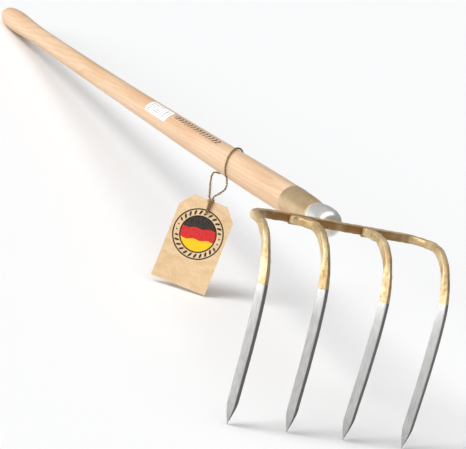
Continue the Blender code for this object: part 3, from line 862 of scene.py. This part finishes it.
def ash_wood():
    """Ash, turned, sanded and clear sealed: warm and pale, with growth lines that close into arches where they
    graze the surface, short dark pores along the grain, and a soft shine."""
    made, tree = new_material("sealed_ash")
    place = tool_place(tree)
    ring_width = 4.4 * MM
    slow = add(tree, "VectorMath.MULTIPLY", place, (5, 30, 30))
    waver = add(tree, "TexNoise", {"Vector": slow, "Scale": 1.0, "Detail": 2.0}, out="Color")
    bent = add(tree, "VectorMath.MULTIPLY_ADD", waver, (0.0, 9 * MM, 9 * MM), place)
    # The pith runs beside the handle and a little askew
    askew = (0.0, radians(2.1), radians(1.3))
    pith = add(tree, "Mapping", {"Vector": bent, "Location": (0.0, 0.016, -0.030), "Rotation": askew})
    growth = {"Vector": pith, "Scale": tau / 20 / ring_width, "Distortion": 0.5, "Detail": 2.0}
    lines = add(tree, "TexWave", growth, out="Fac", wave_type="RINGS", rings_direction="X", wave_profile="SAW")
    late = add(tree, RISE, lines, 0.6, 1.0)
    broad = grained(tree, place, (4, 60, 60), 2.0)
    fibre = grained(tree, place, (25, 700, 700))
    pores = add(tree, RISE, grained(tree, place, (55, 1300, 1300), 2.0), 0.60, 0.72)
    colour = stained(
        tree, "#D6BB9C",
        (add(tree, RISE, broad, 0.35, 0.68), "#CDA883"),
        (late, 0.55, "#C59772"),
        (add(tree, RISE, fibre, 0.45, 0.75), 0.30, "#CFA17A"),
        (pores, 0.32, "#A9744A"),
        (burnt_marks(tree), "#4A382C"),
    )
    rough = add(tree, RISE, fibre, 0.3, 0.7, 0.42, 0.54)
    height = add(tree, "Math.MULTIPLY_ADD", late, 0.4, pores)
    return finished(made, colour, height, -0.08 * MM, Roughness=rough, IOR=1.48)


def burnt_marks(tree):
    """Share of scorch: a row of plain chevrons along the handle, a little uneven as a hot stamp leaves them."""
    given = flat_place(tree)
    middle = sum(BURNT_ANGLES) / 2 / tau
    half = (BURNT_ANGLES[1] - BURNT_ANGLES[0]) / 2 / tau
    pitch, slant = 12 * MM, 1.1
    girth = tau * 17.5 * MM
    lane = add(tree, "Math.ABSOLUTE", add(tree, "Math.SUBTRACT", given["Y"], middle))
    slanted = add(tree, "Math.MULTIPLY_ADD", lane, girth * slant, given["X"])
    stroke = add(tree, "Math.PINGPONG", add(tree, "Math.DIVIDE", slanted, pitch / 2), 1.0)
    drawn = add(tree, RISE, stroke, 0.42, 0.56)
    inside = add(tree, RISE, lane, half * 0.92, half, 1.0, 0.0)
    start = add(tree, RISE, given["X"], BURNT_X[0], BURNT_X[0] + 0.5 * MM)
    stop = add(tree, RISE, given["X"], BURNT_X[1] - 0.5 * MM, BURNT_X[1], 1.0, 0.0)
    uneven = add(tree, RISE, grained(tree, tool_place(tree), (90, 300, 300)), 0.3, 0.62, 0.6, 0.98)
    return together(tree, drawn, inside, start, stop, uneven)


def gold_lacquer():
    """Drawn sheet steel under satin gold lacquer: an even dull tan shine with faint draw lines and smudges."""
    made, tree = new_material("satin_gold_lacquer")
    place = tool_place(tree)
    lines = grained(tree, place, (30, 900, 900), 2.0)
    smudge = grained(tree, place, (70, 90, 90), 4.0)
    colour = stained(
        tree, "#D2B78E",
        (add(tree, RISE, smudge, 0.3, 0.7), "#C4A87E"),
        (add(tree, RISE, lines, 0.4, 0.7), 0.15, "#A88A5E"),
    )
    rough = add(tree, RISE, smudge, 0.3, 0.7, 0.32, 0.40)
    return finished(made, colour, lines, 0.03 * MM, Roughness=rough, Metallic=0.6)


def zinc_plate():
    """Bright zinc plate on a pressed cap: a pale shine like a dull mirror, broken by a faint cloudy crystal
    bloom."""
    made, tree = new_material("zinc_plate")
    place = tool_place(tree)
    crystals = add(tree, "TexVoronoi", {"Vector": place, "Scale": 260.0}, out="Color")
    crystal = add(tree, "SeparateColor", crystals, out="Red")
    cloud = grained(tree, place, (120, 120, 120), 4.0)
    colour = stained(
        tree, "#F2F1EC",
        (add(tree, RISE, cloud, 0.3, 0.7), "#D9D8D3"),
        (crystal, 0.18, "#A9A6A8"),
    )
    rough = add(tree, "Math.MULTIPLY_ADD", crystal, 0.08, add(tree, RISE, cloud, 0.3, 0.7, 0.22, 0.36))
    return finished(made, colour, cloud, 0.18 * MM, Roughness=rough, Metallic=0.68)


def forged_steel(name, mapped=True):
    """Forged steel, lacquered gold and then ground bare towards the points: mottled cream and brown gold over
    hammer marks and scaling pits, darker brown along the front face of the bar, partly brown lacquer and partly
    painted shade, a crisp lacquer line, and satin steel with grind lines below it, brightest next to the line.
    Faces that look to the right get painted shade, a brown-grey darkening that is strongest where they also
    look forward."""
    made, tree = new_material(name)
    place = tool_place(tree)
    patches = grained(tree, place, (55, 55, 40), 5.0)
    specks = grained(tree, place, (420, 420, 300))
    pits = add(tree, RISE, grained(tree, place, (230, 230, 180), 2.0), 0.66, 0.76)
    grind = grained(tree, place, (1900, 1900, 60), 4.0)
    ahead = add(tree, "SeparateXYZ", place, out="X")
    # The front face of the bar is darker brown: partly brown lacquer, partly painted shade
    front_brown_and_shade = together(
        tree, add(tree, RISE, ahead, 4.0 * MM, 5.0 * MM), add(tree, RISE, ahead, 6.4 * MM, 8.0 * MM, 1.0, 0.0),
        add(tree, RISE, patches, 0.3, 0.6, 0.55, 0.85),
    )
    # Painted shade: faces that look to the right (+Y) get a brown-grey darkening, strongest where they also
    # look forward, and are made rougher
    facing = add(tree, "SeparateXYZ", add(tree, "TexCoord", out="Normal"), out=None)
    forward_weight = add(tree, RISE, facing["X"], -0.3, 0.3, 0.45, 1.0)
    right_face_shade = add(tree, TIMES, add(tree, RISE, facing["Y"], 0.1, 0.5), forward_weight)
    gold = stained(
        tree, "#D3BE94",
        (add(tree, RISE, patches, 0.3, 0.72), "#B59766"),
        # Darker front of the bar, partly painted shade
        (front_brown_and_shade, "#8A6132"),
        (add(tree, RISE, specks, 0.5, 0.75), 0.35, "#8A6A3E"),
        (pits, 0.7, "#5B4424"),
        # Painted shade on the right-hand faces
        (right_face_shade, 0.4, "#7E5C34"),
    )
    steel = stained(
        tree, "#BFBEBC",
        (add(tree, RISE, grind, 0.3, 0.75), "#9C9B99"),
        (add(tree, RISE, patches, 0.5, 0.75), 0.35, "#85858A"),
    )
    if mapped:
        below = flat_place(tree)["X"]
        steel = stained(tree, steel, (add(tree, RISE, below, 0.0, 45 * MM, 0.35, 0.0), "#D0CECC"))
        ragged = add(tree, "Math.MULTIPLY_ADD", grained(tree, place, (160, 160, 160)), 3 * MM, -1.5 * MM)
        bare = add(tree, RISE, add(tree, "Math.ADD", below, ragged), -0.5 * MM, 0.5 * MM)
    else:
        bare = add(tree, TIMES, pits, 0.15)
    # Painted shade on the right-hand faces of the bare steel as well
    steel = stained(tree, steel, (right_face_shade, 0.85, "#4A4541"))
    rough = add(tree, "Math.MULTIPLY_ADD", right_face_shade, 0.15, add(tree, "Math.MULTIPLY_ADD", specks, 0.18, 0.30))
    pitted = add(tree, "Math.MULTIPLY_ADD", pits, -1.2, add(tree, TIMES, specks, 0.5))
    covered = add(tree, TIMES, pitted, add(tree, "Math.SUBTRACT", 1.0, bare))
    height = add(tree, "Math.MULTIPLY_ADD", grind, 0.12, covered)
    metallic = add(tree, "Math.MULTIPLY_ADD", bare, 0.15, 0.40)
    colour = stained(tree, gold, (bare, steel))
    return finished(made, colour, height, 0.16 * MM, Roughness=rough, Metallic=metallic)


def label_paper():
    """Matt coated label paper: clean white with soft grey print that stands for lines and a block of bars."""
    made, tree = new_material("label_paper")
    given = flat_place(tree)
    x, y = given["X"], given["Y"]
    row = add(tree, "Math.DIVIDE", y, 3.0 * MM)
    line = add(tree, RISE, add(tree, "Math.PINGPONG", row, 0.5), 0.24, 0.32)
    column = add(tree, "Math.FLOOR", add(tree, "Math.DIVIDE", x, 2.3 * MM))
    word = add(tree, "CombineXYZ", column, add(tree, "Math.FLOOR", add(tree, "Math.ADD", row, 0.5)))
    written = add(tree, "Math.GREATER_THAN", add(tree, "TexWhiteNoise", {"Vector": word}, out="Value"), 0.3)
    from_start = add(tree, RISE, x, -40 * MM, -39 * MM)
    to_end = add(tree, RISE, x, 8 * MM, 9 * MM, 1.0, 0.0)
    height = add(tree, "Math.ABSOLUTE", y)
    lines = together(tree, line, written, from_start, to_end, add(tree, "Math.LESS_THAN", height, 7.6 * MM))
    bar = add(tree, "Math.FLOOR", add(tree, "Math.DIVIDE", x, 0.9 * MM))
    bars = add(tree, "Math.GREATER_THAN", add(tree, "TexWhiteNoise", {"Vector": bar}, out="Value"), 0.48)
    block = together(
        tree, bars, add(tree, RISE, x, 13 * MM, 14 * MM), add(tree, RISE, x, 38 * MM, 39 * MM, 1.0, 0.0),
        add(tree, "Math.LESS_THAN", height, 6 * MM),
    )
    colour = stained(
        tree, "#F1F1EE",
        (grained(tree, tool_place(tree), (300, 300, 300)), "#E4E4E1"),
        (lines, 0.8, "#4A4C52"),
        (block, 0.8, "#2B2C30"),
    )
    tooth = grained(tree, tool_place(tree), (900, 900, 900))
    return finished(made, colour, tooth, 0.02 * MM, Roughness=0.62)


def kraft_card():
    """Unbleached kraft card, printed in flat inks: brown and matt with stray dark and pale fibres, and a round
    seal of plain rings, small leaf marks and three wavy colour fields."""
    made, tree = new_material("kraft_card")
    place = add(tree, "UVMap", uv_map="UVMap")
    cloud = grained(tree, place, (60, 130, 60), 4.0)
    fibres = grained(tree, place, (900, 220, 300))
    card = stained(
        tree, "#E5C8A0",
        (add(tree, RISE, cloud, 0.3, 0.7), "#DAB88C"),
        (add(tree, RISE, fibres, 0.58, 0.7), 0.45, "#B98D5C"),
        (add(tree, RISE, fibres, 0.30, 0.42, 1.0, 0.0), 0.4, "#F6E2C2"),
    )
    given = flat_place(tree)
    x, y = given["X"], add(tree, "Math.ADD", given["Y"], SEAL_BELOW_HOLE)
    far = add(tree, "Math.SQRT", add(tree, "Math.MULTIPLY_ADD", x, x, add(tree, TIMES, y, y)))
    outer = drawn_ring(tree, far, SEAL_RADIUS - 0.7 * MM)
    inner = drawn_ring(tree, far, DISC_RADIUS + 0.4 * MM)
    ink = add(tree, "Math.MAXIMUM", add(tree, "Math.MAXIMUM", outer, inner), leaf_marks(tree, x, y, far))
    level_part, tilted_part = cos(SEAL_TILT), sin(SEAL_TILT)
    along = add(tree, "Math.MULTIPLY_ADD", x, level_part, add(tree, TIMES, y, tilted_part))
    across = add(tree, "Math.MULTIPLY_ADD", y, level_part, add(tree, TIMES, x, -tilted_part))
    wave = add(tree, "Math.SINE", add(tree, TIMES, along, tau / (17 * MM)))
    level = add(tree, "Math.MULTIPLY_ADD", wave, 0.8 * MM, across)
    field = stained(
        tree, "#F2C400",
        (add(tree, RISE, level, -7.2 * MM, -6.8 * MM), "#CF1A22"),
        (add(tree, RISE, level, 6.8 * MM, 7.2 * MM), "#1D1A19"),
    )
    disc = add(tree, RISE, far, DISC_RADIUS - 0.1 * MM, DISC_RADIUS + 0.1 * MM, 1.0, 0.0)
    worn = add(tree, RISE, fibres, 0.35, 0.65, 1.0, 0.94)
    colour = stained(tree, card, (disc, worn, field), (ink, worn, "#151312"))
    return finished(made, colour, fibres, 0.06 * MM, Roughness=0.86)


def drawn_ring(tree, far, radius):
    """Share of ink in a thin ring."""
    off = add(tree, "Math.ABSOLUTE", add(tree, "Math.SUBTRACT", far, radius))
    return add(tree, RISE, off, 0.7 * MM, 0.95 * MM, 1.0, 0.0)


def leaf_marks(tree, x, y, far):
    """Slanted leaf marks round the seal, and dots at its two sides."""
    cells, lane = 26, (SEAL_RADIUS + DISC_RADIUS) / 2
    turn = add(tree, TIMES, add(tree, "Math.ARCTAN2", y, x), cells / tau)
    cell = add(tree, "Math.SUBTRACT", add(tree, "Math.FRACT", turn), 0.5)
    arc = add(tree, TIMES, cell, tau * lane / cells)
    off = add(tree, "Math.SUBTRACT", far, lane)
    wide = add(tree, "Math.DIVIDE", add(tree, "Math.MULTIPLY_ADD", off, 0.5, arc), 1.5 * MM)
    tall = add(tree, "Math.DIVIDE", off, 2.8 * MM)
    leaf = add(tree, "Math.MULTIPLY_ADD", wide, wide, add(tree, TIMES, tall, tall))
    a, b = (add(tree, "Math.DIVIDE", length, 1.0 * MM) for length in (arc, off))
    dot = add(tree, "Math.MULTIPLY_ADD", a, a, add(tree, TIMES, b, b))
    at_side = add(tree, "Math.LESS_THAN", add(tree, "Math.ABSOLUTE", add(tree, "Math.DIVIDE", y, far)), 0.34)
    return add(tree, RISE, add(tree, "Mix.FLOAT", {0: at_side, 2: leaf, 3: dot}), 0.8, 1.15, 1.0, 0.0)


def jute():
    """Two-ply jute twine, spun from coarse fibre: dull olive brown with paler strands along each ply."""
    made, tree = new_material("jute_twine")
    strands = grained(tree, add(tree, "UVMap", uv_map="UVMap"), (260, 9, 1))
    shade = grained(tree, tool_place(tree), (120, 120, 120), 2.0)
    colour = stained(
        tree, "#735A35",
        (add(tree, RISE, strands, 0.36, 0.66), "#C0A06C"),
        (add(tree, RISE, shade, 0.45, 0.7), 0.5, "#54401F"),
    )
    return finished(made, colour, strands, 0.2 * MM, Roughness=0.9)


def loose_fibre():
    """Single jute fibres: straw coloured and a little shiny."""
    made, tree = new_material("jute_fibre")
    shade = grained(tree, tool_place(tree), (500, 500, 500), 2.0)
    colour = stained(tree, "#8C7247", (add(tree, RISE, shade, 0.35, 0.65), "#C4AA78"))
    return finished(made, colour, Roughness=0.7)


# ---------------------------------------------------------------- studio


def make_camera():
    ahead = Vector((
        -cos(CAMERA_PITCH) * cos(CAMERA_YAW),
        cos(CAMERA_PITCH) * sin(CAMERA_YAW),
        -sin(CAMERA_PITCH),
    ))
    level = ahead.cross(Vector((0, 0, 1))).normalized()
    upright = level.cross(ahead)
    right = level * cos(CAMERA_ROLL) + upright * sin(CAMERA_ROLL)
    up = upright * cos(CAMERA_ROLL) - level * sin(CAMERA_ROLL)
    axes = Matrix((right, up, -ahead)).transposed().to_4x4()
    data = bpy.data.cameras.new("camera")
    data.lens = CAMERA_LENS_MM
    data.sensor_width = 36
    data.shift_x, data.shift_y = CAMERA_SHIFT
    data.clip_end = 100
    camera = show("camera", data)
    camera.matrix_world = TOOL @ Matrix.Translation(CAMERA_AT) @ axes
    bpy.context.scene.camera = camera


def make_floor():
    far = 40.0
    mesh = bpy.data.meshes.new("floor")
    mesh.from_pydata([(-far, -far, 0), (far, -far, 0), (far, far, 0), (-far, far, 0)], [], [(0, 1, 2, 3)])
    mesh.materials.append(finished(new_material("pale_floor")[0], (0.9, 0.9, 0.9, 1.0), Roughness=0.8))
    show("floor", mesh)


def sun(name, azimuth, elevation, strength, spread):
    """A soft distant light. azimuth turns from +X towards +Y, and spread is its angular size, in degrees."""
    data = bpy.data.lights.new(name, "SUN")
    data.energy = strength
    data.angle = radians(spread)
    lamp = show(name, data)
    a, e = radians(azimuth), radians(elevation)
    towards = Vector((cos(a) * cos(e), sin(a) * cos(e), sin(e)))
    lamp.rotation_euler = towards.to_track_quat("Z", "Y").to_euler()


def make_lights():
    world = bpy.data.worlds.new("studio")
    bpy.context.scene.world = world
    world.use_nodes = True
    around = world.node_tree.nodes["Background"]
    fill(world.node_tree, around, {"Color": (0.95, 0.97, 1.0, 1.0), "Strength": 0.26})
    sun("key", -88, 48, 1.65, 25)
    sun("low_side", -82, 8, 2.0, 30)
    sun("overhead", -90, 86, 1.15, 60)


def main():
    bpy.context.scene.view_settings.view_transform = "Standard"
    make_camera()
    twine, fibre = jute(), loose_fibre()
    knot = make_knot(twine)
    loop = make_twine(twine)
    make_fuzz("loop_fuzz", loop, fibre)
    make_fuzz("knot_fuzz", knot, fibre)
    wood = ash_wood()
    make_handle(wood)
    make_ferrule(gold_lacquer())
    make_cap(zinc_plate())
    steel = forged_steel("lacquered_and_ground_steel")
    gold_steel = forged_steel("lacquered_steel", mapped=False)
    make_bar_and_outer_tines(steel)
    make_inner_tine("inner_left", -1, "inner_tine_left", steel)
    make_inner_tine("inner_right", 1, "inner_tine_right", steel)
    make_welds(gold_steel)
    tang_finish = frame["nodes"]["tang"].data.materials
    tang_finish.clear()
    tang_finish.append(gold_steel)
    make_sticker(label_paper())
    make_tag(kraft_card())
    make_floor()
    make_lights()


main()
